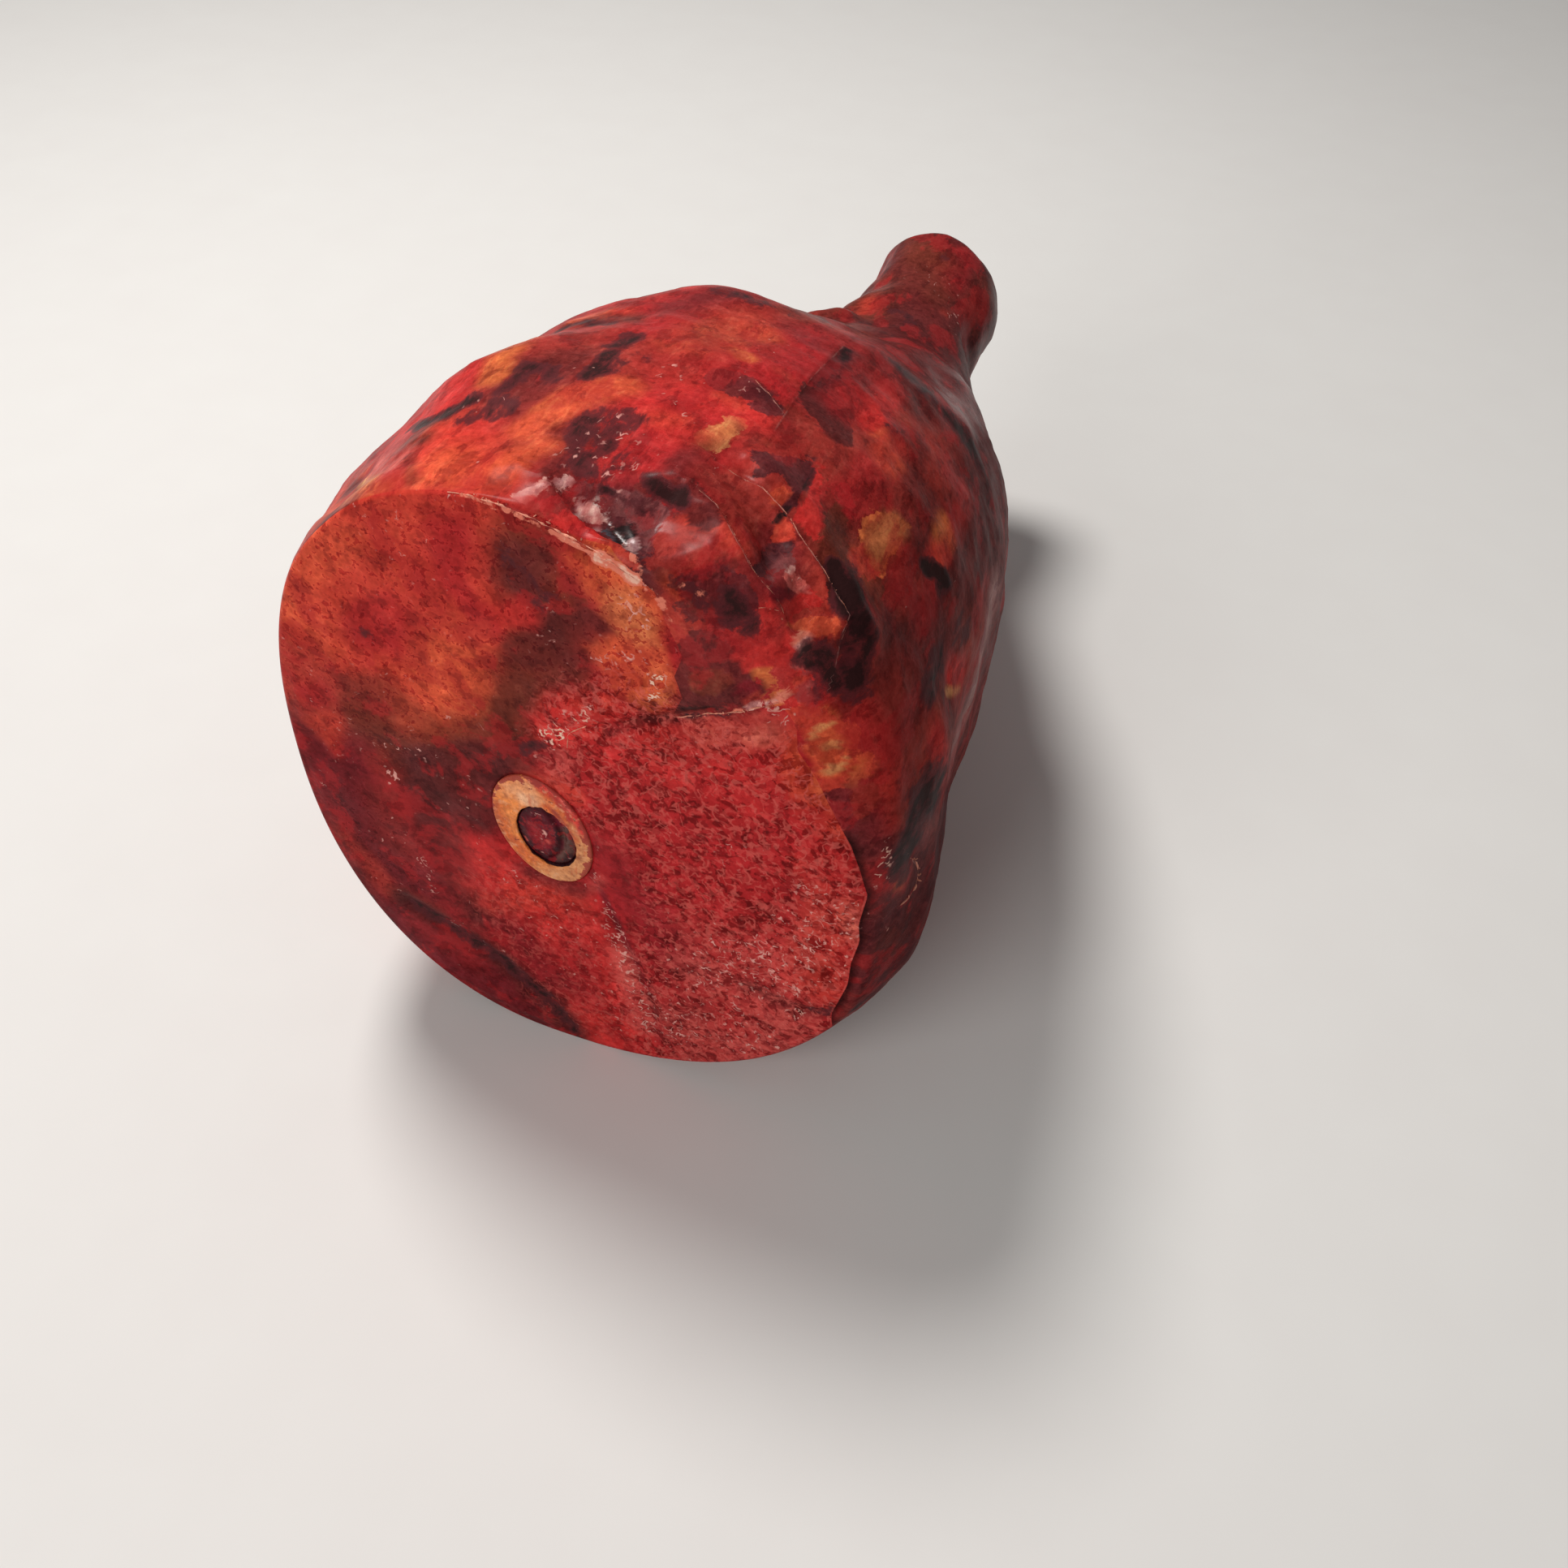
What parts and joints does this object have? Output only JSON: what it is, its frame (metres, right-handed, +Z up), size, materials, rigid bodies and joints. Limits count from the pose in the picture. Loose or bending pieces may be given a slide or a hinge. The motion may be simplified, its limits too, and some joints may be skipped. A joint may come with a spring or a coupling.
{
  "type": "artificial glazed ham",
  "caption": "Display copy of a whole bone-in glazed ham: a flat cut face with the sawn bone, a scorched glossy skin and a tapering shank.",
  "frame": {"origin": "middle of the ham's footprint, on the surface that it lies on", "axes": "+Y along the leg from the cut face to the shank, +X to the right seen from the cut face, +Z up"},
  "size_m": [0.1718, 0.2928, 0.1856],
  "materials": {
    "glazed_skin": "printed meat and scorched glaze under a clear glossy film",
    "bone": "satin, tan sawn bone",
    "marrow": "glossy dark red"
  },
  "bodies": {
    "root": {"ham": "glazed_skin", "bone": "bone", "marrow": "marrow"}
  },
  "joints": []
}
